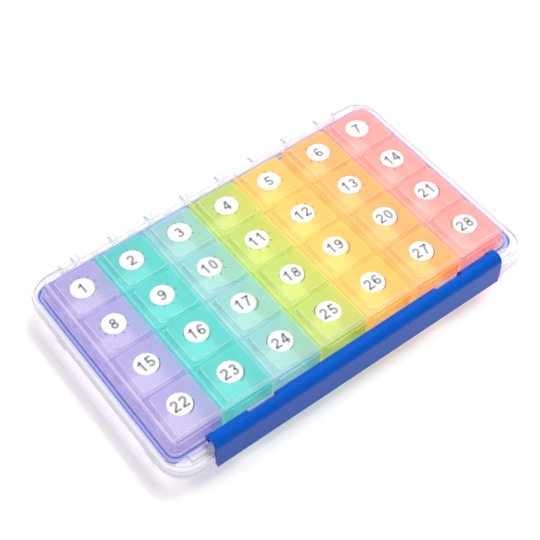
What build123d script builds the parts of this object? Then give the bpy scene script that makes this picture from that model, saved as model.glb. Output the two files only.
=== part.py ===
from build123d import *
import os

# A pill organiser: seven coloured strips of four flip-lid compartments, stood side by side
# in a clear case with a domed lid, a soft seal, a long hinge at the back and a bar latch in front.
# Millimetres, +X along the long side, +Y towards the hinge, +Z up.
# The origin is under the middle of the whole case, on the surface that it stands on.

# Strips of compartments
strip_names = ["violet", "teal", "sky", "lime", "yellow", "orange", "pink"]
cell_count = 4
strip_width = 26.2
strip_length = 104.0
strip_height = 20.6
strip_wall = 1.2
strip_floor = 1.2
strip_corner = 2.6
cross_wall = 1.4
cell_corner = 3.0
cell_foot = 2.4
foot_round_share = 0.95
strip_gap = 0.1
spread_gap = 2.6
spread_after = 5
nail_length = 10.0
nail_depth = 0.6
nail_height = 1.8

# Flip lids of the compartments
flip_gap = 0.15
flip_plate = 1.3
flip_rise = 2.2
flip_skin = 1.1
flip_edge_gap = 0.2
flip_corner = 3.0
flip_foot_edge = 0.7
flip_bevel = 2.5
flip_step = 0.4
flip_soft = 0.5
plug_wall = 0.9
plug_depth = 1.0
plug_gap = 0.3
flip_inset = 1.3
barrel_radius = 1.1
flip_pin = 0.6
flip_pin_grip = 0.55
flip_pin_gap = 0.25
pin_fit = 0.08
ear_gap = 0.3

# Case base
left_play = 0.8
right_play = 1.0
end_play = 0.9
inner_corner = 3.6
base_wall = 1.6
base_floor = 1.6
base_height = 16.0
base_flange = 3.0
base_edge = 1.2
side_shelf = 6.8
front_shelf = 11.4
back_shelf = 8.0
flange_corner = 12.5
foot_width = 8.5
foot_reach = 2.4
foot_round = 3.0
foot_spread = 73.8
rib_width = 2.0
rib_drop = 1.0

# Case lid and its seal
lid_gap = 0.3
lid_flange = 3.2
lid_wall = 1.4
lid_roof = 1.3
dome_room = 1.3
dome_draft = 2.5
dome_edge = 3.6
rim_width = 2.0
rim_height = 0.8
rim_edge = 0.9
seal_lip = 0.8
seal_width = 3.0
seal_height = 1.85
seal_fit = 0.05
ledge_length = 9.0
ledge_width = 3.6
ledge_height = 1.5
ledge_edge = 0.7

# Long hinge at the back
hinge_side_room = 21.0
hinge_end_gap = 1.0
hinge_rod = 1.5
hook_count = 8
hook_inset = 7.9
hook_width = 3.0
hook_wall = 0.8
hinge_out = 0.3
hinge_rise = 1.0
hinge_clear = 2.9
bracket_width = 3.0
bracket_root = 1.5
hook_mouth_share = 0.9

# Bar latch in front
latch_side_room = 21.0
latch_wall = 1.7
latch_rod = 2.2
latch_hang = 2.6
latch_lip = 1.3
latch_proud = 0.1
latch_roll_gap = 0.5
latch_bead = 0.5
latch_bead_gap = 0.3
latch_end_gap = 1.0
latch_rod_inset = 1.0
post_place_share = 0.65
post_width = 12.0
post_wall = 1.8
post_gap = 1.5
tab_length = 3.0
tab_rise = 0.4

# One length that every cut runs past the solid
overrun = 2.0

# Levels, from the floor up
strip_top = base_floor + strip_height
flip_z = strip_top + flip_gap
flip_top = flip_z + flip_plate + flip_rise
flange_z = base_height - base_flange
lid_z = base_height + lid_gap
lid_top = lid_z + lid_flange
dome_under = flip_top + dome_room
dome_top = dome_under + lid_roof

# Plan of the case
strip_count = len(strip_names)
strips_width = strip_count * strip_width + (strip_count - 1) * strip_gap + spread_gap
inner_width = strips_width + left_play + right_play
inner_depth = strip_length + 2 * end_play
case_width = inner_width + 2 * side_shelf
hinge_length = case_width - 2 * hinge_side_room
latch_length = case_width - 2 * latch_side_room
hook_radius = hinge_rod + pin_fit + hook_wall
tray_y = (front_shelf + latch_proud - back_shelf - hinge_out - hook_radius) / 2
flange_front = tray_y - inner_depth / 2 - front_shelf
flange_back = tray_y + inner_depth / 2 + back_shelf
flange_depth = flange_back - flange_front
flange_y = (flange_back + flange_front) / 2

# Hinge and latch axes
hinge_y = flange_back + hinge_out
hinge_z = base_height + hinge_rise
hinge_edge = hinge_y - hinge_clear
latch_radius = latch_rod + pin_fit + latch_wall
latch_y = flange_front - latch_proud + latch_radius
latch_z = lid_top + latch_roll_gap + latch_radius
latch_foot = flange_z - latch_hang
latch_notch = latch_length / 2 + latch_end_gap
hinge_notch = hinge_length / 2 + hinge_end_gap
hook_pitch = (hinge_length - 2 * hook_inset) / (hook_count - 1)
post_place = latch_length / 2 * post_place_share
notch_depth = latch_wall - latch_proud + latch_bead + latch_bead_gap

# Compartments of a strip
cell_pitch = (strip_length - cross_wall) / cell_count
cell_width = strip_width - 2 * strip_wall
cell_length = cell_pitch - cross_wall
flip_axis_z = flip_z + barrel_radius
flip_half = cell_pitch / 2 - flip_edge_gap
neck_half = cell_length / 2 - flip_pin_gap
plate_left = 2 * flip_inset + ear_gap


def block(x0, x1, y0, y1, z0, z1):
    """Box between two corners."""
    return Pos((x0 + x1) / 2, (y0 + y1) / 2, (z0 + z1) / 2) * Box(x1 - x0, y1 - y0, z1 - z0)


def bar_x(radius, x0, x1, y, z):
    """Round bar along X."""
    return Pos((x0 + x1) / 2, y, z) * Rot(0, 90, 0) * Cylinder(radius, x1 - x0)


def bar_y(radius, y0, y1, x, z):
    """Round bar along Y."""
    return Pos(x, (y0 + y1) / 2, z) * Rot(90, 0, 0) * Cylinder(radius, y1 - y0)


def tray_slab(margin, z0, z1):
    """Rounded slab that follows the tray's inside, a margin wider all round."""
    face = RectangleRounded(inner_width + 2 * margin, inner_depth + 2 * margin, inner_corner + margin)
    return Pos(0, tray_y, z0) * extrude(face, amount=z1 - z0)


def flange_slab(inset, z0, z1):
    """Rounded slab that follows the case's flange, an inset smaller all round."""
    face = RectangleRounded(case_width - 2 * inset, flange_depth - 2 * inset, flange_corner - inset)
    return Pos(0, flange_y, z0) * extrude(face, amount=z1 - z0)


def dome(margin, top, edge):
    """Drafted block with a rounded top edge, for the outside and the inside of the lid's dome."""
    face = RectangleRounded(inner_width + 2 * margin, inner_depth + 2 * margin, inner_corner + margin)
    solid = Pos(0, tray_y, lid_z) * extrude(face, amount=top - lid_z, taper=dome_draft)
    return fillet(solid.faces().sort_by(Axis.Z)[-1].edges(), edge)


def notches(z0, z1):
    """Recesses in the flange for the latch in front and the hinge behind."""
    front = block(-latch_notch, latch_notch, flange_front - overrun, flange_front + notch_depth, z0, z1)
    back = block(-hinge_notch, hinge_notch, hinge_edge, flange_back + overrun, z0, z1)
    return front + back


def hook_places():
    """X of each lid hook, evenly about the middle."""
    return [(i - (hook_count - 1) / 2) * hook_pitch for i in range(hook_count)]


def bracket_places():
    """X of each rod bracket: between the hooks, and at both ends of the rod."""
    between = [x + hook_pitch / 2 for x in hook_places()[:-1]]
    end = (hinge_length - bracket_width) / 2
    return [-end] + between + [end]


def strip_left(index):
    """X of a strip's left side; the last strips stand a little apart from the rest."""
    spread = spread_gap if index >= spread_after else 0
    return -inner_width / 2 + left_play + index * (strip_width + strip_gap) + spread


def cell_y(row):
    """Y of a compartment's middle; row 0 is at the back."""
    return tray_y + ((cell_count - 1) / 2 - row) * cell_pitch


def strip():
    """Four open compartments in a row, with hinge ears along the left side, which is at X 0."""
    outline = RectangleRounded(strip_width, strip_length, strip_corner)
    middle = Pos(strip_width / 2, tray_y, base_floor)
    body = middle * extrude(outline, amount=strip_height)
    ears = []
    for i in range(cell_count + 1):
        y = tray_y + (i - cell_count / 2) * cell_pitch
        y0 = y - cross_wall / 2
        y1 = y + cross_wall / 2
        ears.append(block(0, 2 * flip_inset, y0, y1, strip_top, flip_axis_z))
        ears.append(bar_y(flip_inset, y0, y1, flip_inset, flip_axis_z))
    ear_top = flip_axis_z + flip_inset - base_floor
    body += (Part() + ears) & (middle * extrude(outline, amount=ear_top))
    body -= bar_y(flip_pin + pin_fit, tray_y - strip_length, tray_y + strip_length, flip_inset, flip_axis_z)
    cell = extrude(RectangleRounded(cell_width, cell_length, cell_corner), amount=strip_height)
    cell = fillet(cell.faces().sort_by(Axis.Z)[0].edges(), min(cell_foot, cell_corner * foot_round_share))
    for row in range(cell_count):
        y = cell_y(row)
        body -= Pos(strip_width / 2, y, base_floor + strip_floor) * cell
        body -= block(strip_width - nail_depth, strip_width + overrun, y - nail_length / 2,
                      y + nail_length / 2, strip_top - nail_height, strip_top + overrun)
    return body


def frustum(x0, x1, half, z0, bevel_left, bevel_right, bevel_y, z1, corner):
    """Block with sloped sides over a rounded rectangle."""
    low = Pos((x0 + x1) / 2, 0, z0) * RectangleRounded(x1 - x0, 2 * half, corner)
    x2 = x0 + bevel_left
    x3 = x1 - bevel_right
    high = Pos((x2 + x3) / 2, 0, z1) * RectangleRounded(x3 - x2, 2 * (half - bevel_y), corner)
    return loft([low, high])


def flip_lid():
    """Lid of one compartment, about Y 0, with its strip's left side at X 0."""
    right = strip_width - flip_edge_gap
    plate_top = flip_z + flip_plate
    plate = block(plate_left, right, -flip_half, flip_half, flip_z, plate_top)
    plate = fillet(plate.edges().filter_by(Axis.Z).group_by(Axis.X)[-1], flip_corner)
    neck = block(flip_inset, plate_left, -neck_half, neck_half, flip_z, plate_top)
    barrel = bar_y(barrel_radius, -neck_half, neck_half, flip_inset, flip_axis_z)
    pin_end = neck_half + flip_pin_gap + flip_pin_grip
    pins = bar_y(flip_pin, -pin_end, pin_end, flip_inset, flip_axis_z)
    crown_half = flip_half - flip_foot_edge
    crown = frustum(plate_left, right - flip_foot_edge, crown_half, plate_top, flip_bevel - flip_skin,
                    flip_bevel, flip_bevel, flip_top, flip_bevel)
    crown = fillet(crown.faces().sort_by(Axis.Z)[-1].edges(), flip_soft)
    plug_right = strip_width - strip_wall - plug_gap
    plug_half = cell_length / 2 - plug_gap
    plug_middle = Pos((plate_left + plug_right) / 2, 0, flip_z - plug_depth)
    plug = plug_middle * extrude(RectangleRounded(plug_right - plate_left, 2 * plug_half, cell_corner - plug_gap),
                                 amount=plug_depth)
    hollow_face = RectangleRounded(plug_right - plate_left - 2 * plug_wall, 2 * (plug_half - plug_wall),
                                   cell_corner - plug_gap - plug_wall)
    hollow_foot = plug_middle * Pos(0, 0, -overrun) * extrude(hollow_face, amount=overrun + plug_depth)
    hollow = frustum(plate_left + plug_wall, plug_right - plug_wall, plug_half - plug_wall, flip_z,
                     flip_bevel - flip_step, flip_bevel + flip_step, flip_bevel + flip_step,
                     flip_top - flip_skin, cell_corner - plug_gap - plug_wall)
    return plate + neck + barrel + pins + crown + plug - hollow_foot - hollow


def case_base():
    """Clear tray with a flange, feet under it, the hinge rod behind and the latch's end ribs in front."""
    flange = flange_slab(0, flange_z, base_height)
    flange = fillet(flange.faces().sort_by(Axis.Z)[0].edges(), base_edge)
    flange -= notches(flange_z - overrun, base_height + overrun)
    shell = tray_slab(base_wall, 0, base_height)
    shell = fillet(shell.faces().sort_by(Axis.Z)[0].edges(), base_edge)
    wall_front = tray_y - inner_depth / 2 - base_wall
    wall_side = inner_width / 2 + base_wall
    extras = []
    for side in (-1, 1):
        ribs = [side * latch_notch, side * (latch_notch + rib_width)]
        extras.append(block(min(ribs), max(ribs), flange_front, wall_front, flange_z - rib_drop,
                            base_height - base_edge))
        feet = [side * (wall_side - base_wall / 2), side * (wall_side + foot_reach)]
        for end in (-1, 1):
            y = flange_y + end * foot_spread / 2
            foot = block(min(feet), max(feet), y - foot_width / 2, y + foot_width / 2, 0, flange_z + base_edge)
            extras.append(fillet(foot.edges().filter_by(Axis.X).group_by(Axis.Z)[0], foot_round))
    for x in bracket_places():
        extras.append(block(x - bracket_width / 2, x + bracket_width / 2, hinge_edge - bracket_root, hinge_y,
                            flange_z, base_height))
    extras.append(bar_x(hinge_rod, -hinge_length / 2, hinge_length / 2, hinge_y, hinge_z))
    return flange + shell + extras - tray_slab(0, base_floor, base_height + overrun)


def hook(x):
    """Lid hook that snaps over the hinge rod, open underneath."""
    x0 = x - hook_width / 2
    x1 = x + hook_width / 2
    inner = hinge_rod + pin_fit
    arm = block(x0, x1, hinge_edge - bracket_root, hinge_y, lid_z, hinge_z + hook_radius)
    body = arm + bar_x(hook_radius, x0, x1, hinge_y, hinge_z)
    body -= bar_x(inner, x0 - overrun, x1 + overrun, hinge_y, hinge_z)
    mouth = hinge_z - inner * hook_mouth_share
    return body - block(x0 - overrun, x1 + overrun, hinge_edge, hinge_y + hook_radius + overrun,
                        hinge_z - hook_radius - overrun, mouth)


def case_lid():
    """Clear domed lid with a stepped flange, the seal's groove, the hinge hooks and the latch's rod."""
    flange = flange_slab(0, lid_z, lid_top + rim_height)
    flange = fillet(flange.faces().sort_by(Axis.Z)[-1].edges(), min(rim_edge, rim_width / 2))
    flange -= flange_slab(rim_width, lid_top, lid_top + rim_height + overrun)
    flange -= notches(lid_z - overrun, lid_top + rim_height + overrun)
    extras = [dome(lid_wall, dome_top, dome_edge)]
    extras += [hook(x) for x in hook_places()]
    for side in (-1, 1):
        ledge = [side * latch_notch, side * (latch_notch + ledge_length)]
        front = flange_front + rim_width + ledge_height
        step = block(min(ledge), max(ledge), front, front + ledge_width, lid_top, lid_top + ledge_height)
        extras.append(fillet(step.faces().sort_by(Axis.Z)[-1].edges(), ledge_edge))
        x = side * post_place
        extras.append(block(x - post_width / 2, x + post_width / 2, latch_y - post_wall / 2,
                            latch_y + post_wall / 2, lid_top, latch_z))
    rod_half = latch_length / 2 - latch_rod_inset
    extras.append(bar_x(latch_rod, -rod_half, rod_half, latch_y, latch_z))
    groove_top = base_height + seal_height + seal_fit
    groove = tray_slab(seal_lip + seal_width + 2 * seal_fit, lid_z - overrun, groove_top)
    groove -= tray_slab(seal_lip, lid_z - overrun, groove_top)
    body = flange + extras - groove
    return body - dome(0, dome_under, dome_edge - lid_roof)


def seal_ring():
    """Soft ring in the lid's groove, which rests on the base's flange."""
    inner = seal_lip + seal_fit
    top = base_height + seal_height
    return tray_slab(inner + seal_width, base_height, top) - tray_slab(inner, base_height, top)


def latch():
    """Bar latch: a roll that clips over the lid's rod, and a front panel with a bead along its foot."""
    half = latch_length / 2
    inner = latch_radius - latch_wall
    roll = bar_x(latch_radius, -half, half, latch_y, latch_z)
    for side in (-1, 1):
        tab = [side * half, side * (half - tab_length)]
        roll += bar_x(latch_radius, min(tab), max(tab), latch_y + tab_rise, latch_z)
    roll -= bar_x(inner, -half - overrun, half + overrun, latch_y, latch_z)
    under = latch_z - latch_radius - overrun
    roll -= block(-half - overrun, half + overrun, latch_y - latch_radius - overrun, latch_y, under, latch_z)
    roll -= block(-half - overrun, half + overrun, latch_y, latch_y + latch_radius + overrun, under,
                  latch_z - latch_lip)
    for side in (-1, 1):
        x0 = side * post_place - post_width / 2 - post_gap
        x1 = side * post_place + post_width / 2 + post_gap
        roll -= block(x0, x1, latch_y + post_wall / 2, latch_y + latch_radius + overrun, under,
                      latch_z + latch_radius + overrun)
    face_y = latch_y - latch_radius
    panel = block(-half, half, face_y, face_y + latch_wall, latch_foot, latch_z)
    bead_z = flange_z - latch_hang / 2
    bead = bar_x(latch_wall / 2 + latch_bead / 2, -half, half, face_y + latch_wall / 2 + latch_bead / 2, bead_z)
    bead &= block(-half, half, face_y, face_y + latch_wall + latch_bead, latch_foot, latch_z)
    return roll + panel + bead


def save(solid, node):
    export_step(solid, f"parts/{node}.step")


os.makedirs("parts", exist_ok=True)
save(case_base(), "case_base")
save(case_lid(), "case_lid")
save(seal_ring(), "seal_ring")
save(latch(), "latch")
one_strip = strip()
one_lid = flip_lid()
for index, colour in enumerate(strip_names):
    left = strip_left(index)
    save(Pos(left, 0, 0) * one_strip, f"{colour}_strip")
    for row in range(cell_count):
        save(Pos(left, cell_y(row), 0) * one_lid, f"{colour}_lid_{row + 1}")
print("case", round(case_width, 2), round(flange_depth, 2), round(dome_top, 2))
print("hinge axis y z", round(hinge_y, 3), round(hinge_z, 3), "latch axis y z", round(latch_y, 3), round(latch_z, 3))
print("flip axis x from a strip's left", flip_inset, "z", round(flip_axis_z, 3), "tray y", round(tray_y, 3))
print("strip lefts", [round(strip_left(i), 2) for i in range(strip_count)], "cell ys",
      [round(cell_y(r), 3) for r in range(cell_count)])
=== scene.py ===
import math
import random

import bmesh
import bpy
from mathutils import Matrix, Vector


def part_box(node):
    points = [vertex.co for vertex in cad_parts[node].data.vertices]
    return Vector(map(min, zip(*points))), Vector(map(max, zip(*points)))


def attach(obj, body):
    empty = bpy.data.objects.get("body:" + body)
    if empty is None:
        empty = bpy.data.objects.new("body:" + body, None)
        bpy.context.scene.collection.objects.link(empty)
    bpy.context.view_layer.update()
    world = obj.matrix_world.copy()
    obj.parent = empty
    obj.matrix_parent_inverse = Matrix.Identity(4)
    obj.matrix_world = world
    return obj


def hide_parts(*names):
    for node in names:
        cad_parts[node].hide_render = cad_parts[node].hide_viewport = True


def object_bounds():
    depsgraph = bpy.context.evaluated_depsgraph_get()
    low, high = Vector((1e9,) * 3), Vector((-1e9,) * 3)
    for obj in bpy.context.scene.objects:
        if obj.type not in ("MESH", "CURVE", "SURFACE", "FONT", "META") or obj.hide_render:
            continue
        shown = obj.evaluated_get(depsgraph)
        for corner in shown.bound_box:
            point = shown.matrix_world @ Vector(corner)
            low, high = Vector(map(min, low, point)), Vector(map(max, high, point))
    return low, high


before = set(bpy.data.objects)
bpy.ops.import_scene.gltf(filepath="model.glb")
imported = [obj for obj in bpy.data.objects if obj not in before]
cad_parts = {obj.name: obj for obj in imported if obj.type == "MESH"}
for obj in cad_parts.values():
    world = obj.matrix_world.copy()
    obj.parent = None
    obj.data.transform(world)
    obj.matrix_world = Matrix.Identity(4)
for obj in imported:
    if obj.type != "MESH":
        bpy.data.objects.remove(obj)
cad_low, cad_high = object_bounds()
scene = bpy.context.scene
scene.view_settings.view_transform = "Standard"
# A look through the lid, a flip lid and a strip meets dozens of clear walls
scene.cycles.transparent_max_bounces = 64

MM = 0.001
STRIPS = ["violet", "teal", "sky", "lime", "yellow", "orange", "pink"]
ROWS = 4

# Measures of the solids, in millimetres
HINGE_WIDTH = 2.2
FLIP_RISE = 2.2
FLIP_EDGE = 0.7
FLIP_BEVEL = 2.5
FLIP_SOFT = 0.4
SEAL_CORNER = 7.45
SEAL_GROOVE = 3.0
# Heights between which the dome's foot turns into the rim, and how far under the top its round edge lies,
# which carries a painted highlight
RIM_TOP = 21.6
RIM_FOOT = 20.4
HIGHLIGHT_TOP = 2.2
HIGHLIGHT_FOOT = 2.6
# How far down the painted shade in the gaps between the flip lids reaches
GAP_SHADE_DEPTH = 2.3

# Points closer than WELD, in millimetres, become one, and faces that meet flatter than SAME_FACE join.
# Edges sharper than SHARP_EDGE are shaded sharp; those of clear mouldings get a painted shade line from
# EDGE_ANGLE on.
WELD = 0.002
SAME_FACE = math.radians(0.4)
SHARP_EDGE = math.radians(35)
EDGE_ANGLE = math.radians(40)

# Measures of what the scene adds, in millimetres
CROWN_BEVEL = 0.5
CROWN_CORNER = 1.2
EDGE_RADIUS = 0.16
LATCH_ROOM = 1.0
LID_MIDDLE = 13.35
STICKER_RADIUS = 5.65
STICKER_THICK = 0.1
DIGIT_HEIGHT = 5.8
DIGIT_THICK = 0.02
SUN_RADIUS = 6.0
MOON_RADIUS = 5.8
SIGN_SHIFT = 0.4
SIGN_LINE = 0.42
SIGN_THICK = 0.03
RAY_LENGTH = 1.4
RAYS = 9
# How far a hand puts a sticker off the middle of its lid: millimetres, and degrees for the turn
SLIP_ACROSS = (-0.9, 0.5)
SLIP_ALONG = 0.75
SLIP_SPREAD = 0.7
SLIP_TURN = 5

LID_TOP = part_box("violet_lid_1")[1].z
CROWN_FOOT = LID_TOP - FLIP_RISE * MM


# Small helpers for node trees
def linear(code):
    """sRGB hex to the linear colour that a shader takes."""
    parts = [int(code[i:i + 2], 16) / 255 for i in (1, 3, 5)]
    return (*[p / 12.92 if p <= 0.04045 else ((p + 0.055) / 1.055) ** 2.4 for p in parts], 1.0)


WHITE = linear("#FFFFFF")


def node(tree, kind, inputs=None, **settings):
    """Adds a node: settings are its own properties, inputs its sockets' values or what feeds them."""
    made = tree.nodes.new(kind)
    for name, value in settings.items():
        setattr(made, name, value)
    for name, value in (inputs or {}).items():
        if isinstance(value, bpy.types.NodeSocket):
            tree.links.new(value, made.inputs[name])
        else:
            made.inputs[name].default_value = value
    return made


def maths(tree, operation, *values):
    """The result of a sum on numbers or sockets."""
    return node(tree, "ShaderNodeMath", dict(enumerate(values)), operation=operation).outputs[0]


def ramp(tree, value, start, end, low=0.0, high=1.0, **settings):
    """Goes from low to high while the value goes from start to end, and no further."""
    made = node(tree, "ShaderNodeMapRange", {
        "Value": value, "From Min": start, "From Max": end, "To Min": low, "To Max": high}, **settings)
    return made.outputs["Result"]


def blend(tree, share, first, second, **settings):
    """A colour between two colours."""
    made = node(tree, "ShaderNodeMix", {"Factor": share, "A": first, "B": second},
                data_type="RGBA", **settings)
    return made.outputs[2]


def parts_of(tree, vector):
    """The X, Y and Z of a vector."""
    return node(tree, "ShaderNodeSeparateXYZ", {0: vector}).outputs


def pattern(tree, place, size, detail):
    """Soft noise whose blotches have a real size, in millimetres."""
    made = node(tree, "ShaderNodeTexNoise", {"Vector": place, "Scale": 1 / (size * MM), "Detail": detail})
    return made.outputs["Fac"]


def relief(tree, height, strength, depth):
    """A slight unevenness of the skin, its depth in millimetres."""
    made = node(tree, "ShaderNodeBump", {"Height": height, "Strength": strength, "Distance": depth * MM})
    return made.outputs["Normal"]


def outside(tree, place, low, high):
    """How far a point lies outside a box, seen from above."""
    away = node(tree, "ShaderNodeVectorMath", {0: place, 1: (low + high) / 2}, operation="SUBTRACT")
    away = node(tree, "ShaderNodeVectorMath", {0: away.outputs[0]}, operation="ABSOLUTE")
    past = node(tree, "ShaderNodeVectorMath", {0: away.outputs[0], 1: (high - low) / 2},
                operation="SUBTRACT")
    past = parts_of(tree, past.outputs[0])
    return maths(tree, "MAXIMUM", past["X"], past["Y"])


# Materials
POLYPROPYLENE_IOR = 1.49
SILICONE_IOR = 1.41


def material(name):
    """An empty material and its node tree."""
    made = bpy.data.materials.new(name)
    made.use_nodes = True
    made.node_tree.nodes.clear()
    return made, made.node_tree


def see_through(tree, film, cast, shade, milk, glow, dull, haze, normal, painted_glow=0.0):
    """Clear plastic as layers: a film that shows what is behind, a milky wall that lets light glow
    through it, and a glossy skin. Lamp light goes on through it, tinted by cast, as a thin moulding
    scatters it on and doesn't stop it. Only faces turned to the eye are milky and glossy, so that a wall
    isn't counted twice."""
    front = maths(tree, "SUBTRACT", 1.0, node(tree, "ShaderNodeNewGeometry").outputs["Backfacing"])
    facing = node(tree, "ShaderNodeLayerWeight", {"Blend": 0.5}).outputs["Facing"]
    mirror = ramp(tree, maths(tree, "POWER", facing, 5.0), 0.0, 1.0, 0.04, 0.5)
    behind = node(tree, "ShaderNodeBsdfTransparent", {"Color": film})
    # An emission in the skin makes painted highlight lines glow, though the plastic is no lamp.
    skin = node(tree, "ShaderNodeBsdfPrincipled", {
        "Base Color": shade, "Roughness": dull, "IOR": POLYPROPYLENE_IOR, "Normal": normal,
        "Emission Color": WHITE, "Emission Strength": painted_glow})
    through = node(tree, "ShaderNodeBsdfTranslucent", {"Color": shade})
    wall = node(tree, "ShaderNodeMixShader", {0: glow, 1: skin.outputs[0], 2: through.outputs[0]})
    inside = node(tree, "ShaderNodeMixShader", {
        0: maths(tree, "MULTIPLY", milk, front), 1: behind.outputs[0], 2: wall.outputs[0]})
    gloss = node(tree, "ShaderNodeBsdfAnisotropic", {"Color": WHITE, "Roughness": haze, "Normal": normal})
    coated = node(tree, "ShaderNodeMixShader", {
        0: maths(tree, "MULTIPLY", mirror, front), 1: inside.outputs[0], 2: gloss.outputs[0]})
    lamp = node(tree, "ShaderNodeBsdfTransparent", {"Color": cast})
    path = node(tree, "ShaderNodeLightPath")
    both = node(tree, "ShaderNodeMixShader", {
        0: path.outputs["Is Shadow Ray"], 1: coated.outputs[0], 2: lamp.outputs[0]})
    node(tree, "ShaderNodeOutputMaterial", {"Surface": both.outputs[0]})


def clear_moulding(name, dome, rim_inside, rim_outside):
    """Clear polypropylene, injection moulded: colourless in the thin dome, with a painted highlight line
    round its upper edge, milkier in the rim, most of all outside the seal, and, as painted shade, greyer
    where a wall is seen along its length; glossy, with faint flow waves of about 9 mm. The three shares
    say how milky it is."""
    made, tree = material(f"{name}_polypropylene")
    place = node(tree, "ShaderNodeTexCoord").outputs
    height = parts_of(tree, place["Object"])["Z"]
    lean = parts_of(tree, place["Normal"])["Z"]
    facing = node(tree, "ShaderNodeLayerWeight", {"Blend": 0.5}).outputs["Facing"]
    waves = pattern(tree, place["Object"], 9, 1.0)

    rim = ramp(tree, height, RIM_TOP * MM, RIM_FOOT * MM)
    # Painted shade lines: walls seen along their length get more milk here and a greyer colour below.
    edge = ramp(tree, facing, 0.3, 1.0, 0.0, 0.4, interpolation_type="SMOOTHSTEP")
    milk = maths(tree, "ADD", edge, ramp(tree, rim, 0.0, 1.0, dome, rim_inside))
    past = outside(tree, place["Object"], *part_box("seal_ring"))
    milk = maths(tree, "ADD", milk, ramp(tree, past, 0.0, 0.3 * MM, 0.0, rim_outside - rim_inside))
    # Painted highlight: a milky band along the dome's round upper edge, in place of the lamp's
    # reflection, which the lid doesn't show.
    painted_highlight_band = maths(tree, "MULTIPLY", ramp(tree, lean, 0.6, 0.8, 0.0, 0.24), ramp(tree, lean, 0.985, 0.95))
    high_up = ramp(tree, height, cad_high.z - HIGHLIGHT_FOOT * MM, cad_high.z - HIGHLIGHT_TOP * MM)
    milk = maths(tree, "MULTIPLY_ADD", painted_highlight_band, high_up, milk)

    cast = blend(tree, rim, linear("#FCFBFB"), linear("#F4EEEE"))
    # Painted shade: greyer where a wall is seen along its length.
    shade = blend(tree, ramp(tree, facing, 0.8, 1.0), linear("#FBFAFD"), linear("#DAD5EA"))
    see_through(
        tree, WHITE, cast, shade, milk, glow=0.25, dull=0.3, haze=ramp(tree, waves, 0.0, 1.0, 0.14, 0.19),
        normal=relief(tree, waves, 0.006, 0.2))
    return made


def tinted_moulding(name, flat, steep, thin):
    """Tinted translucent polypropylene, with its light and shade painted in: pale where it lies flat over
    the lit compartment, painted shade deeper on its slopes and in the gaps between the lids, deepest on
    the strips' outer walls, and a painted, glowing highlight line along each rounded edge; glossy, with
    cloudy flow marks of about 7 mm."""
    made, tree = material(f"{name}_polypropylene")
    place = node(tree, "ShaderNodeTexCoord").outputs
    height = parts_of(tree, place["Object"])["Z"]
    lean = parts_of(tree, place["Normal"])["Z"]
    level = maths(tree, "ABSOLUTE", lean)
    cloud = pattern(tree, place["Object"], 7, 2.0)

    # Painted shade: a deeper tint on sloping and upright faces, weaker on the crowns, and down in the
    # gaps between the lids.
    crown = ramp(tree, height, CROWN_FOOT - 0.2 * MM, CROWN_FOOT + 0.3 * MM, 1.0, 0.2)
    slope_shade = ramp(tree, level, 0.97, 0.8, 0.0, crown)
    under = ramp(tree, height, CROWN_FOOT + 0.2 * MM, CROWN_FOOT)
    over = ramp(tree, height, CROWN_FOOT - (GAP_SHADE_DEPTH + 0.5) * MM, CROWN_FOOT - GAP_SHADE_DEPTH * MM)
    painted_shade = maths(tree, "MAXIMUM", slope_shade, maths(tree, "MULTIPLY", under, over))
    tint = blend(tree, painted_shade, linear(flat), linear(steep))

    # Painted shade: the strips' outer upright walls, below the crowns, darkened further.
    past = outside(tree, place["Object"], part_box("violet_strip")[0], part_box("pink_strip")[1])
    outer = maths(tree, "MULTIPLY", under, ramp(tree, past, -1.0 * MM, -0.6 * MM))
    outer = maths(tree, "MULTIPLY", outer, ramp(tree, level, 0.5, 0.2))
    tint = blend(tree, outer, tint, linear(steep), blend_type="MULTIPLY")

    # Painted highlight: a white line along each rounded edge and round the top of each crown, which also
    # glows.
    fall = ramp(tree, lean, 0.99, 0.95)
    line = maths(tree, "MULTIPLY", ramp(tree, lean, 0.84, 0.91, 0.0, 0.45), fall)
    painted_highlight_band = ramp(tree, height, LID_TOP - 0.5 * MM, LID_TOP - 0.35 * MM, 0.0, 0.7)
    line = maths(tree, "MAXIMUM", line, maths(tree, "MULTIPLY", painted_highlight_band, fall))

    milk = maths(tree, "MULTIPLY_ADD", cloud, 0.1, 0.46)
    milk = maths(tree, "MULTIPLY_ADD", line, 0.4, milk)
    milk = maths(tree, "MULTIPLY_ADD", painted_shade, 0.14, milk)
    see_through(
        tree, linear(thin), linear(thin), blend(tree, line, tint, WHITE), milk, glow=0.6, dull=0.4,
        haze=ramp(tree, cloud, 0.0, 1.0, 0.1, 0.2), normal=relief(tree, cloud, 0.05, 0.2),
        painted_glow=maths(tree, "MULTIPLY", line, 0.5))
    return made


def glossy_blue():
    """Blue polypropylene, opaque and glossy, with a fine moulded orange peel of about 2 mm."""
    made, tree = material("blue_polypropylene")
    peel = pattern(tree, node(tree, "ShaderNodeTexCoord").outputs["Object"], 2, 2.0)
    skin = node(tree, "ShaderNodeBsdfPrincipled", {
        "Base Color": linear("#0056C0"), "Roughness": ramp(tree, peel, 0.0, 1.0, 0.13, 0.19),
        "IOR": POLYPROPYLENE_IOR, "Specular IOR Level": 0.12, "Normal": relief(tree, peel, 0.05, 0.1)})
    node(tree, "ShaderNodeOutputMaterial", {"Surface": skin.outputs[0]})
    return made


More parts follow.
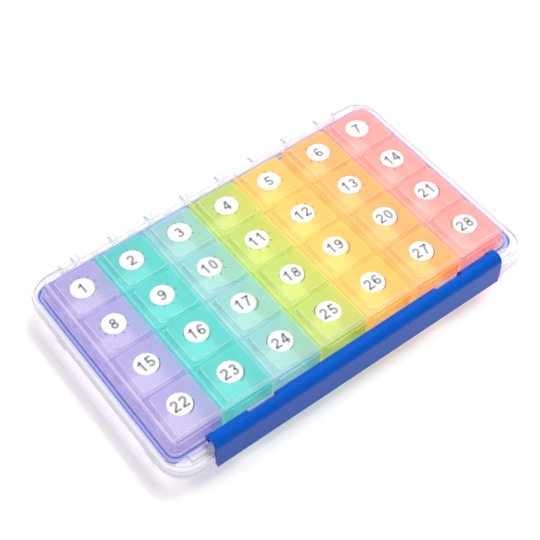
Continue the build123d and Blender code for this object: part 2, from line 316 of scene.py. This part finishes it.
def soft_blue(name, colour):
    """Blue silicone rubber, moulded: satin, with a grain of about 1.5 mm. Paler in its thin web."""
    made, tree = material(name)
    grain = pattern(tree, node(tree, "ShaderNodeTexCoord").outputs["Object"], 1.5, 2.0)
    skin = node(tree, "ShaderNodeBsdfPrincipled", {
        "Base Color": linear(colour), "Roughness": ramp(tree, grain, 0.0, 1.0, 0.36, 0.48),
        "IOR": SILICONE_IOR, "Normal": relief(tree, grain, 0.08, 0.1)})
    node(tree, "ShaderNodeOutputMaterial", {"Surface": skin.outputs[0]})
    return made


def sticker_paper():
    """Coated white paper: matt, with fibres of about 0.4 mm just showing."""
    made, tree = material("coated_paper")
    fibre = pattern(tree, node(tree, "ShaderNodeTexCoord").outputs["Object"], 0.4, 3.0)
    skin = node(tree, "ShaderNodeBsdfPrincipled", {
        "Base Color": blend(tree, fibre, linear("#F4F4F2"), linear("#EAEAE6")), "Roughness": 0.6,
        "Normal": relief(tree, fibre, 0.1, 0.03)})
    node(tree, "ShaderNodeOutputMaterial", {"Surface": skin.outputs[0]})
    return made


def thin_colour(name, dark, pale):
    """A thin satin colour, uneven at about 0.5 mm: printing ink, and the pale lavender painted shade
    lines along clear edges.
    """
    made, tree = material(name)
    grain = pattern(tree, node(tree, "ShaderNodeTexCoord").outputs["Object"], 0.5, 2.0)
    skin = node(tree, "ShaderNodeBsdfPrincipled", {
        "Base Color": blend(tree, grain, linear(dark), linear(pale)), "Roughness": 0.55})
    node(tree, "ShaderNodeOutputMaterial", {"Surface": skin.outputs[0]})
    return made


# Lit and shaded tints of each plastic, with light and shade painted in: pale for flat faces, deep for
# slopes, gaps and outer walls.
TINTS = {  # flat and pale, steep and deep, thin film
    "violet": ("#E4D8F6", "#C6B2EE", "#FCFAFD"),
    "teal": ("#50F2E8", "#26E6DE", "#F0FDFC"),
    "sky": ("#C4EEEE", "#A0E2EE", "#F8FDFD"),
    "lime": ("#E6F474", "#D0EC4A", "#FCFDF0"),
    "yellow": ("#FFE868", "#FFDA40", "#FFFEEE"),
    "orange": ("#FFE078", "#FFCC50", "#FFFDEE"),
    "pink": ("#FFCCC6", "#FFB0AA", "#FFFBF9"),
}
CLEAR = clear_moulding("clear", dome=0.05, rim_inside=0.14, rim_outside=0.62)
MILKY = clear_moulding("milky", dome=0.6, rim_inside=0.6, rim_outside=0.6)
# Painted shade lines along the sharp edges of the clear mouldings.
EDGE_LINE_PAINT = thin_colour("painted_edge_line", "#D6D3E6", "#E0DEEE")
BLUE = glossy_blue()
SEAL_BEAD = soft_blue("silicone_bead", "#0E52E8")
SEAL_WEB = soft_blue("silicone_lip", "#B4CAFA")
PAPER = sticker_paper()
GREY_INK = thin_colour("grey_ink", "#868E99", "#979FA9")
SIGN_INK = thin_colour("sign_ink", "#484450", "#5C5864")
TINTED = {name: tinted_moulding(name, *TINTS[name]) for name in STRIPS}


# Pieces from the solids
def shown(name, mesh, body, stands_for=None):
    """Puts a finished mesh in the scene, on its body."""
    piece = bpy.data.objects.new(name, mesh)
    scene.collection.objects.link(piece)
    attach(piece, body)
    if stands_for:
        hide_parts(stands_for)
    return piece


def evaluated(holder):
    """The mesh that an object's modifiers give; the object itself is taken away."""
    scene.collection.objects.link(holder)
    bpy.context.view_layer.update()
    mesh = bpy.data.meshes.new_from_object(holder.evaluated_get(bpy.context.evaluated_depsgraph_get()))
    holder.modifiers.clear()
    bpy.data.objects.remove(holder)
    return mesh


def squared_crown(shape, lid):
    """Stands the sides of a flip lid's crown almost straight up and squares its corners, within its
    plate. The hinge barrel and the crown's side next to it stay as they are."""
    low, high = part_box(lid)
    middle = (low + high) / 2
    foot = high.z - FLIP_RISE * MM

    def spread(gap, reach, rise):
        """A distance from the middle, with the bevel and corner at this height made the new ones."""
        corner = FLIP_BEVEL + (CROWN_CORNER - FLIP_BEVEL) * rise
        edge = reach - FLIP_BEVEL * rise * MM
        knee = edge - FLIP_BEVEL * MM
        new_edge = reach - CROWN_BEVEL * rise * MM
        new_knee = new_edge - corner * MM
        if abs(gap) < knee:
            return gap * new_knee / knee
        if abs(gap) > edge - FLIP_SOFT * MM:
            return math.copysign(new_edge - edge + abs(gap), gap)
        shrunk = (abs(gap) - knee) * (corner - FLIP_SOFT) / (FLIP_BEVEL - FLIP_SOFT)
        return math.copysign(new_knee + shrunk, gap)

    for point in shape.verts:
        rise = (point.co.z - foot) / (FLIP_RISE * MM)
        if rise > 0.01 and point.co.x > low.x + HINGE_WIDTH * MM:
            gap = point.co - middle
            if gap.x > 0:
                point.co.x = middle.x + spread(gap.x, high.x - middle.x - FLIP_EDGE * MM, rise)
            point.co.y = middle.y + spread(gap.y, high.y - middle.y - FLIP_EDGE * MM, rise)


def moulded_copy(name, paint, body):
    """A CAD solid as one joined skin, shaded smooth over its rounds."""
    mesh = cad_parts[name].data.copy()
    mesh.name = f"{name}_moulding"
    mesh.materials.clear()
    mesh.materials.append(paint)
    shape = bmesh.new()
    shape.from_mesh(mesh)
    bmesh.ops.remove_doubles(shape, verts=shape.verts, dist=WELD * MM)
    if "_lid_" in name:
        squared_crown(shape, name)
    bmesh.ops.dissolve_limit(shape, angle_limit=SAME_FACE, verts=shape.verts, edges=shape.edges)
    for face in shape.faces:
        face.smooth = True
        face.material_index = 0
    shape.to_mesh(mesh)
    shape.free()
    mesh.set_sharp_from_angle(angle=SHARP_EDGE)
    holder = bpy.data.objects.new("holder", mesh)
    even = holder.modifiers.new("even", "WEIGHTED_NORMAL")
    even.keep_sharp = True
    return shown(f"{name}_moulding", evaluated(holder), body, name)


base_moulding = moulded_copy("case_base", MILKY, "case_base")
lid_moulding = moulded_copy("case_lid", CLEAR, "case_lid")
moulded_copy("latch", BLUE, "latch")
for colour in STRIPS:
    moulded_copy(f"{colour}_strip", TINTED[colour], "case_base")
    for row in range(ROWS):
        lid = f"{colour}_lid_{row + 1}"
        moulded_copy(lid, TINTED[colour], lid)


# Pieces from geometry nodes
def plan(name, inputs):
    """A geometry node tree with named inputs, its group input's sockets and each input's identifier."""
    tree = bpy.data.node_groups.new(name, "GeometryNodeTree")
    tree.interface.new_socket("Geometry", in_out="OUTPUT", socket_type="NodeSocketGeometry")
    keys = {}
    for label, kind in inputs.items():
        keys[label] = tree.interface.new_socket(label, in_out="INPUT", socket_type=kind).identifier
    return tree, node(tree, "NodeGroupInput").outputs, keys


def painted(tree, geometry, paint):
    """Ends a tree: its geometry made real, in its material."""
    whole = node(tree, "GeometryNodeRealizeInstances", {"Geometry": geometry})
    coloured = node(tree, "GeometryNodeSetMaterial", {"Geometry": whole.outputs[0], "Material": paint})
    node(tree, "NodeGroupOutput", {"Geometry": coloured.outputs[0]})


def made_from(planned, values, data=None):
    """The mesh that a planned tree gives for these values, from a mesh or curves if it needs them."""
    tree, keys = planned
    holder = bpy.data.objects.new("holder", data or bpy.data.meshes.new("holder"))
    modifier = holder.modifiers.new("plan", "NODES")
    modifier.node_group = tree
    for label, value in values.items():
        modifier[keys[label]] = value
    return evaluated(holder)


def joined(name, meshes, place):
    """Several meshes with their materials as one, put in its place."""
    mesh = bpy.data.meshes.new(name)
    paints = []
    shape = bmesh.new()
    for part in meshes:
        count = len(shape.faces)
        shape.from_mesh(part)
        shape.faces.ensure_lookup_table()
        for face in shape.faces[count:]:
            paint = part.materials[face.material_index] or part.materials[-1]
            if paint not in paints:
                paints.append(paint)
            face.material_index = paints.index(paint)
    bmesh.ops.recalc_face_normals(shape, faces=shape.faces)
    shape.to_mesh(mesh)
    shape.free()
    for paint in paints:
        mesh.materials.append(paint)
    mesh.transform(place)
    return mesh


def seal_plan():
    """Tree for one bead of the seal: an oval swept round a rounded path."""
    tree, given, keys = plan("seal_plan", {
        "Width": "NodeSocketFloat", "Depth": "NodeSocketFloat", "Corner": "NodeSocketFloat",
        "Radius": "NodeSocketFloat", "Flatten": "NodeSocketFloat", "Rubber": "NodeSocketMaterial"})
    path = node(tree, "GeometryNodeCurvePrimitiveQuadrilateral", {
        "Width": given["Width"], "Height": given["Depth"]})
    turned = node(tree, "GeometryNodeFilletCurve", {
        "Curve": path.outputs[0], "Radius": given["Corner"], "Count": 12}, mode="POLY")
    bead = node(tree, "GeometryNodeCurvePrimitiveCircle", {"Resolution": 12, "Radius": given["Radius"]})
    squeeze = node(tree, "ShaderNodeCombineXYZ", {0: 1.0, 1: given["Flatten"], 2: 1.0})
    oval = node(tree, "GeometryNodeTransform", {"Geometry": bead.outputs[0], "Scale": squeeze.outputs[0]})
    swept = node(tree, "GeometryNodeCurveToMesh", {
        "Curve": turned.outputs[0], "Profile Curve": oval.outputs[0]})
    soft = node(tree, "GeometryNodeSetShadeSmooth", {"Geometry": swept.outputs[0]})
    painted(tree, soft.outputs[0], given["Rubber"])
    return tree, keys


def seal():
    """The seal in its groove: a strong bead outside, a thin one inside and a paler web between them."""
    planned = seal_plan()
    low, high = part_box("seal_ring")
    middle = (low + high) / 2
    width, depth = (high - low).xy
    outer, web, inner = 0.55 * MM, 0.7 * MM, 0.3 * MM
    groove = SEAL_GROOVE * MM
    rows = []
    for radius, flatten, inset, paint in (
            (outer, 1.4, outer, SEAL_BEAD), (web, 0.5, groove / 2, SEAL_WEB),
            (inner, 2.4, groove - inner, SEAL_BEAD)):
        row = made_from(planned, {
            "Width": width - 2 * inset, "Depth": depth - 2 * inset, "Corner": SEAL_CORNER * MM - inset,
            "Radius": radius, "Flatten": flatten, "Rubber": paint})
        row.transform(Matrix.Translation((0, 0, low.z + radius * flatten - middle.z)))
        rows.append(row)
    mesh = joined("seal", rows, Matrix.Translation(middle))
    return shown("seal", mesh, "case_lid", "seal_ring")


def edge_plan():
    """Tree for the painted shade lines along the sharp edges of a clear moulding: thin rods, clear of the
    latch.
    """
    tree, given, keys = plan("edge_plan", {
        "Moulding": "NodeSocketGeometry", "Angle": "NodeSocketFloat", "Radius": "NodeSocketFloat",
        "Latch Half": "NodeSocketFloat", "Latch Back": "NodeSocketFloat", "Paint": "NodeSocketMaterial"})

    def more(first, second):
        """Where one number is greater than another."""
        return node(tree, "FunctionNodeCompare", {"A": first, "B": second}, data_type="FLOAT",
                    operation="GREATER_THAN").outputs[0]

    place = parts_of(tree, node(tree, "GeometryNodeInputPosition").outputs[0])
    sharp = more(node(tree, "GeometryNodeInputMeshEdgeAngle").outputs["Unsigned Angle"], given["Angle"])
    beside = more(maths(tree, "ABSOLUTE", place["X"]), given["Latch Half"])
    behind = more(place["Y"], given["Latch Back"])
    free = node(tree, "FunctionNodeBooleanMath", {0: beside, 1: behind}, operation="OR")
    chosen = node(tree, "FunctionNodeBooleanMath", {0: sharp, 1: free.outputs[0]}, operation="AND")
    lines = node(tree, "GeometryNodeMeshToCurve", {
        "Mesh": given["Moulding"], "Selection": chosen.outputs[0]})
    cut = node(tree, "GeometryNodeCurvePrimitiveCircle", {"Resolution": 5, "Radius": given["Radius"]})
    swept = node(tree, "GeometryNodeCurveToMesh", {
        "Curve": lines.outputs[0], "Profile Curve": cut.outputs[0]})
    soft = node(tree, "GeometryNodeSetShadeSmooth", {"Geometry": swept.outputs[0]})
    painted(tree, soft.outputs[0], given["Paint"])
    return tree, keys


EDGE_PLAN = edge_plan()


def bright_edges(moulding, body):
    """The painted shade lines along the edges of one clear moulding, on the same body and inside its box.
    """
    shrunk = moulding.data.copy()
    low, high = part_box(body)
    fit = [1 - 2 * EDGE_RADIUS * MM / size for size in high - low]
    middle = Matrix.Translation((low + high) / 2)
    shrunk.transform(middle @ Matrix.Diagonal((*fit, 1)) @ middle.inverted())
    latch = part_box("latch")[1]
    rods = made_from(EDGE_PLAN, {
        "Angle": EDGE_ANGLE, "Radius": EDGE_RADIUS * MM, "Latch Half": latch.x + LATCH_ROOM * MM,
        "Latch Back": latch.y + LATCH_ROOM * MM, "Paint": EDGE_LINE_PAINT}, shrunk)
    name = f"{body}_edges"
    return shown(name, joined(name, [rods], Matrix()), body)


seal()
bright_edges(base_moulding, "case_base")
bright_edges(lid_moulding, "case_lid")


# Round number stickers, stuck on by hand over the signs printed on the lids, so each sits a little off
def sign_plan():
    """Tree for the sign on a flip lid: the rays of a sun by day, two arcs of a moon by night."""
    tree, given, keys = plan("sign_plan", {
        "Radius": "NodeSocketFloat", "Rays": "NodeSocketInt", "Ray Length": "NodeSocketFloat",
        "Line": "NodeSocketFloat", "Thickness": "NodeSocketFloat", "Night": "NodeSocketBool",
        "Ink": "NodeSocketMaterial"})
    ring = node(tree, "GeometryNodeMeshCircle", {"Vertices": given["Rays"], "Radius": given["Radius"]})
    size = node(tree, "ShaderNodeCombineXYZ", {
        0: given["Ray Length"], 1: given["Line"], 2: given["Thickness"]})
    ray = node(tree, "GeometryNodeMeshCube", {"Size": size.outputs[0]})
    spot = node(tree, "GeometryNodeInputPosition")
    turn = node(tree, "FunctionNodeAlignRotationToVector", {"Vector": spot.outputs[0]}, axis="X")
    rays = node(tree, "GeometryNodeInstanceOnPoints", {
        "Points": ring.outputs[0], "Instance": ray.outputs[0], "Rotation": turn.outputs[0]})
    moon = node(tree, "GeometryNodeJoinGeometry")
    cut = node(tree, "GeometryNodeCurvePrimitiveQuadrilateral", {
        "Width": given["Line"], "Height": given["Thickness"]})
    for start, sweep in ((-80, 75), (110, 50)):
        curve = node(tree, "GeometryNodeCurveArc", {
            "Resolution": 16, "Radius": given["Radius"], "Start Angle": math.radians(start),
            "Sweep Angle": math.radians(sweep)})
        swept = node(tree, "GeometryNodeCurveToMesh", {
            "Curve": curve.outputs[0], "Profile Curve": cut.outputs[0], "Fill Caps": True})
        tree.links.new(swept.outputs[0], moon.inputs[0])
    chosen = node(tree, "GeometryNodeSwitch", {
        "Switch": given["Night"], "False": rays.outputs[0], "True": moon.outputs[0]},
        input_type="GEOMETRY")
    painted(tree, chosen.outputs[0], given["Ink"])
    return tree, keys


def disc_plan():
    """Tree for a sticker's paper disc."""
    tree, given, keys = plan("disc_plan", {
        "Radius": "NodeSocketFloat", "Thickness": "NodeSocketFloat", "Paper": "NodeSocketMaterial"})
    disc = node(tree, "GeometryNodeMeshCylinder", {
        "Vertices": 48, "Radius": given["Radius"], "Depth": given["Thickness"]})
    painted(tree, disc.outputs[0], given["Paper"])
    return tree, keys


def number_plan():
    """Tree for a printed number: flat ribbons of ink along its strokes."""
    tree, given, keys = plan("number_plan", {
        "Strokes": "NodeSocketGeometry", "Line": "NodeSocketFloat", "Thickness": "NodeSocketFloat",
        "Ink": "NodeSocketMaterial"})
    cut = node(tree, "GeometryNodeCurvePrimitiveQuadrilateral", {
        "Width": given["Line"], "Height": given["Thickness"]})
    swept = node(tree, "GeometryNodeCurveToMesh", {
        "Curve": given["Strokes"], "Profile Curve": cut.outputs[0], "Fill Caps": True})
    painted(tree, swept.outputs[0], given["Ink"])
    return tree, keys


def arc(x, y, wide, high, start, end, count=14):
    """Points along part of an oval, angles in degrees."""
    turns = [math.radians(start + (end - start) * i / count) for i in range(count + 1)]
    return [(x + wide * math.cos(t), y + high * math.sin(t)) for t in turns]


# Centre lines of bold digits, in shares of the digit height; a line that ends where it starts is a ring
DIGIT_WIDTH = 0.62
DIGIT_STEP = 0.76
DIGIT_STROKE = 0.18
SIX = [arc(0.31, 0.31, 0.205, 0.215, 0, 360, 24),
       arc(0.35, 0.5, 0.245, 0.405, 42, 178) + [(0.105, 0.34)]]
STROKES = {
    "0": [arc(0.31, 0.5, 0.2, 0.405, 0, 360, 28)],
    "1": [[(0.37, 0.0), (0.37, 1.0)], [(0.38, 0.93), (0.25, 0.79), (0.1, 0.71)]],
    "2": [arc(0.305, 0.69, 0.2, 0.215, 172, -28) + [(0.36, 0.42), (0.2, 0.25), (0.1, 0.1)],
          [(0.03, 0.09), (0.59, 0.09)]],
    "3": [arc(0.285, 0.71, 0.18, 0.195, 160, -90), arc(0.285, 0.305, 0.21, 0.21, 90, -162)],
    "4": [[(0.43, 0.0), (0.43, 1.0)], [(0.4, 0.96), (0.07, 0.32)], [(0.0, 0.295), (0.61, 0.295)]],
    "5": [[(0.15, 0.905), (0.56, 0.905)], [(0.195, 0.97), (0.13, 0.46)],
          arc(0.3, 0.315, 0.215, 0.22, 138, -162)],
    "6": SIX,
    "7": [[(0.03, 0.905), (0.59, 0.905)], [(0.52, 0.93), (0.36, 0.62), (0.27, 0.32), (0.23, 0.0)]],
    "8": [arc(0.31, 0.725, 0.175, 0.18, 0, 360, 24), arc(0.31, 0.3, 0.21, 0.205, 0, 360, 24)],
    "9": [[(DIGIT_WIDTH - x, 1 - y) for x, y in line] for line in SIX],
}


def number_strokes(number):
    """The strokes of a number as a curve, about its own middle."""
    words = str(number)
    lines = bpy.data.curves.new("number", "CURVE")
    lines.dimensions = "3D"
    lines.twist_mode = "Z_UP"
    shift = (DIGIT_STEP * (len(words) - 1) + DIGIT_WIDTH) / 2
    for place, digit in enumerate(words):
        for stroke in STROKES[digit]:
            ring = math.dist(stroke[0], stroke[-1]) < 0.001
            points = stroke[:-1] if ring else stroke
            spline = lines.splines.new("POLY")
            spline.points.add(len(points) - 1)
            spline.use_cyclic_u = ring
            for point, (x, y) in zip(spline.points, points):
                across = (x + place * DIGIT_STEP - shift) * DIGIT_HEIGHT * MM
                point.co = (across, (y - 0.5) * DIGIT_HEIGHT * MM, 0, 1)
    return lines


DISC_PLAN = disc_plan()
SIGN_PLAN = sign_plan()
NUMBER_PLAN = number_plan()
hand = random.Random(28)


def sticker(number, lid, night):
    """The printed sign on a flip lid's flat top, and the paper disc with its number stuck over it."""
    low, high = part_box(lid)
    middle = Matrix.Translation((low.x + LID_MIDDLE * MM, (low.y + high.y) / 2, high.z))
    sign = made_from(SIGN_PLAN, {
        "Radius": (MOON_RADIUS if night else SUN_RADIUS) * MM, "Rays": RAYS,
        "Ray Length": RAY_LENGTH * MM, "Line": SIGN_LINE * MM, "Thickness": SIGN_THICK * MM,
        "Night": night, "Ink": SIGN_INK})
    sign.transform(Matrix.Translation((0, SIGN_SHIFT * MM, SIGN_THICK / 2 * MM)))
    across = hand.uniform(*SLIP_ACROSS)
    along = SLIP_ALONG + hand.uniform(-SLIP_SPREAD, SLIP_SPREAD)
    slip = Vector((across, along, SIGN_THICK)) * MM
    turn = Matrix.Rotation(math.radians(hand.uniform(-SLIP_TURN, SLIP_TURN)), 4, "Z")
    disc = made_from(DISC_PLAN, {
        "Radius": STICKER_RADIUS * MM, "Thickness": STICKER_THICK * MM, "Paper": PAPER})
    disc.transform(Matrix.Translation(slip + Vector((0, 0, STICKER_THICK / 2 * MM))))
    digits = made_from(NUMBER_PLAN, {
        "Line": DIGIT_STROKE * DIGIT_HEIGHT * MM, "Thickness": DIGIT_THICK * MM, "Ink": GREY_INK},
        number_strokes(number))
    lift = Vector((0, 0, (STICKER_THICK + DIGIT_THICK / 2) * MM))
    digits.transform(Matrix.Translation(slip + lift) @ turn)
    shown(f"{lid}_sign", joined(f"{lid}_sign", [sign], middle), lid)
    shown(f"{lid}_sticker", joined(f"{lid}_sticker", [disc, digits], middle), lid)


for row in range(ROWS):
    for column, colour in enumerate(STRIPS):
        sticker(row * len(STRIPS) + column + 1, f"{colour}_lid_{row + 1}", row > 1)


# Table, light and camera
FLOOR = 3.0
FLOOR_LIFT = 0.3
LOBE = Vector((0.66, 0.40, 0.64)).normalized()
LENS = 83.0
SENSOR = 36
EYE = (-0.2088, -0.2794, 0.4766)
AZIMUTH, ELEVATION, ROLL = math.radians(36.18), math.radians(52.86), math.radians(1.0)


def table():
    """A white paper table: matt, and lifted to the eye so that it runs into the white behind it."""
    mesh = bpy.data.meshes.new("table_top")
    mesh.from_pydata([(-FLOOR, -FLOOR, 0), (FLOOR, -FLOOR, 0), (FLOOR, FLOOR, 0), (-FLOOR, FLOOR, 0)], [],
                     [(0, 1, 2, 3)])
    made, tree = material("white_table")
    path = node(tree, "ShaderNodeLightPath").outputs
    seen = maths(tree, "ADD", path["Is Camera Ray"], path["Is Glossy Ray"])
    seen = maths(tree, "ADD", seen, path["Is Transmission Ray"])
    matt = node(tree, "ShaderNodeBsdfDiffuse", {"Color": linear("#F0EFEF")})
    lift = node(tree, "ShaderNodeEmission", {
        "Color": WHITE, "Strength": maths(tree, "MULTIPLY", seen, FLOOR_LIFT)})
    both = node(tree, "ShaderNodeAddShader", {0: matt.outputs[0], 1: lift.outputs[0]})
    node(tree, "ShaderNodeOutputMaterial", {"Surface": both.outputs[0]})
    mesh.materials.append(made)
    floor = bpy.data.objects.new("table_top", mesh)
    scene.collection.objects.link(floor)


def studio():
    """A white studio: brightest over the back right, darker low down, plain white where it is seen."""
    world = bpy.data.worlds.new("studio")
    scene.world = world
    world.use_nodes = True
    tree = world.node_tree
    tree.nodes.clear()
    path = node(tree, "ShaderNodeLightPath").outputs
    seen = maths(tree, "ADD", path["Is Camera Ray"], path["Is Transmission Ray"])
    sky = node(tree, "ShaderNodeTexCoord").outputs["Generated"]
    towards = node(tree, "ShaderNodeVectorMath", {0: sky, 1: LOBE}, operation="DOT_PRODUCT")
    bright = ramp(tree, towards.outputs["Value"], 0.8, 0.985, 0.0, 0.8, interpolation_type="SMOOTHSTEP")
    roof = ramp(tree, parts_of(tree, sky)["Z"], 0.0, 0.8, 0.25, 0.5, interpolation_type="SMOOTHSTEP")
    soft = node(tree, "ShaderNodeBackground", {
        "Color": WHITE, "Strength": maths(tree, "ADD", bright, roof)})
    backdrop = node(tree, "ShaderNodeBackground", {"Color": WHITE, "Strength": 1.0})
    chosen = node(tree, "ShaderNodeMixShader", {0: seen, 1: soft.outputs[0], 2: backdrop.outputs[0]})
    node(tree, "ShaderNodeOutputWorld", {"Surface": chosen.outputs[0]})


def softbox(name, width, depth, power, place):
    """A studio lamp that looks at the middle of the table; the glossy lid doesn't mirror it."""
    lamp = bpy.data.lights.new(name, "AREA")
    lamp.shape = "RECTANGLE"
    lamp.size = width
    lamp.size_y = depth
    lamp.energy = power
    made = bpy.data.objects.new(name, lamp)
    made.location = place
    made.rotation_euler = (-Vector(place)).to_track_quat("-Z", "Y").to_euler()
    made.visible_glossy = False
    scene.collection.objects.link(made)


def photo_camera():
    """The camera fitted to the photo."""
    ahead = Vector((math.sin(AZIMUTH) * math.cos(ELEVATION), math.cos(AZIMUTH) * math.cos(ELEVATION),
                    -math.sin(ELEVATION)))
    right = ahead.cross(Vector((0, 0, 1))).normalized()
    down = ahead.cross(right)
    across = right * math.cos(ROLL) + down * math.sin(ROLL)
    below = -right * math.sin(ROLL) + down * math.cos(ROLL)
    lens = bpy.data.cameras.new("camera")
    lens.sensor_width = SENSOR
    lens.lens = LENS
    lens.clip_start = 0.01
    camera = bpy.data.objects.new("camera", lens)
    turn = Matrix((across, -below, -ahead)).transposed().to_4x4()
    camera.matrix_world = Matrix.Translation(EYE) @ turn
    scene.collection.objects.link(camera)
    scene.camera = camera


table()
studio()
softbox("overhead", width=0.6, depth=0.26, power=7.4, place=(0.34, 0.0, 0.95))
photo_camera()
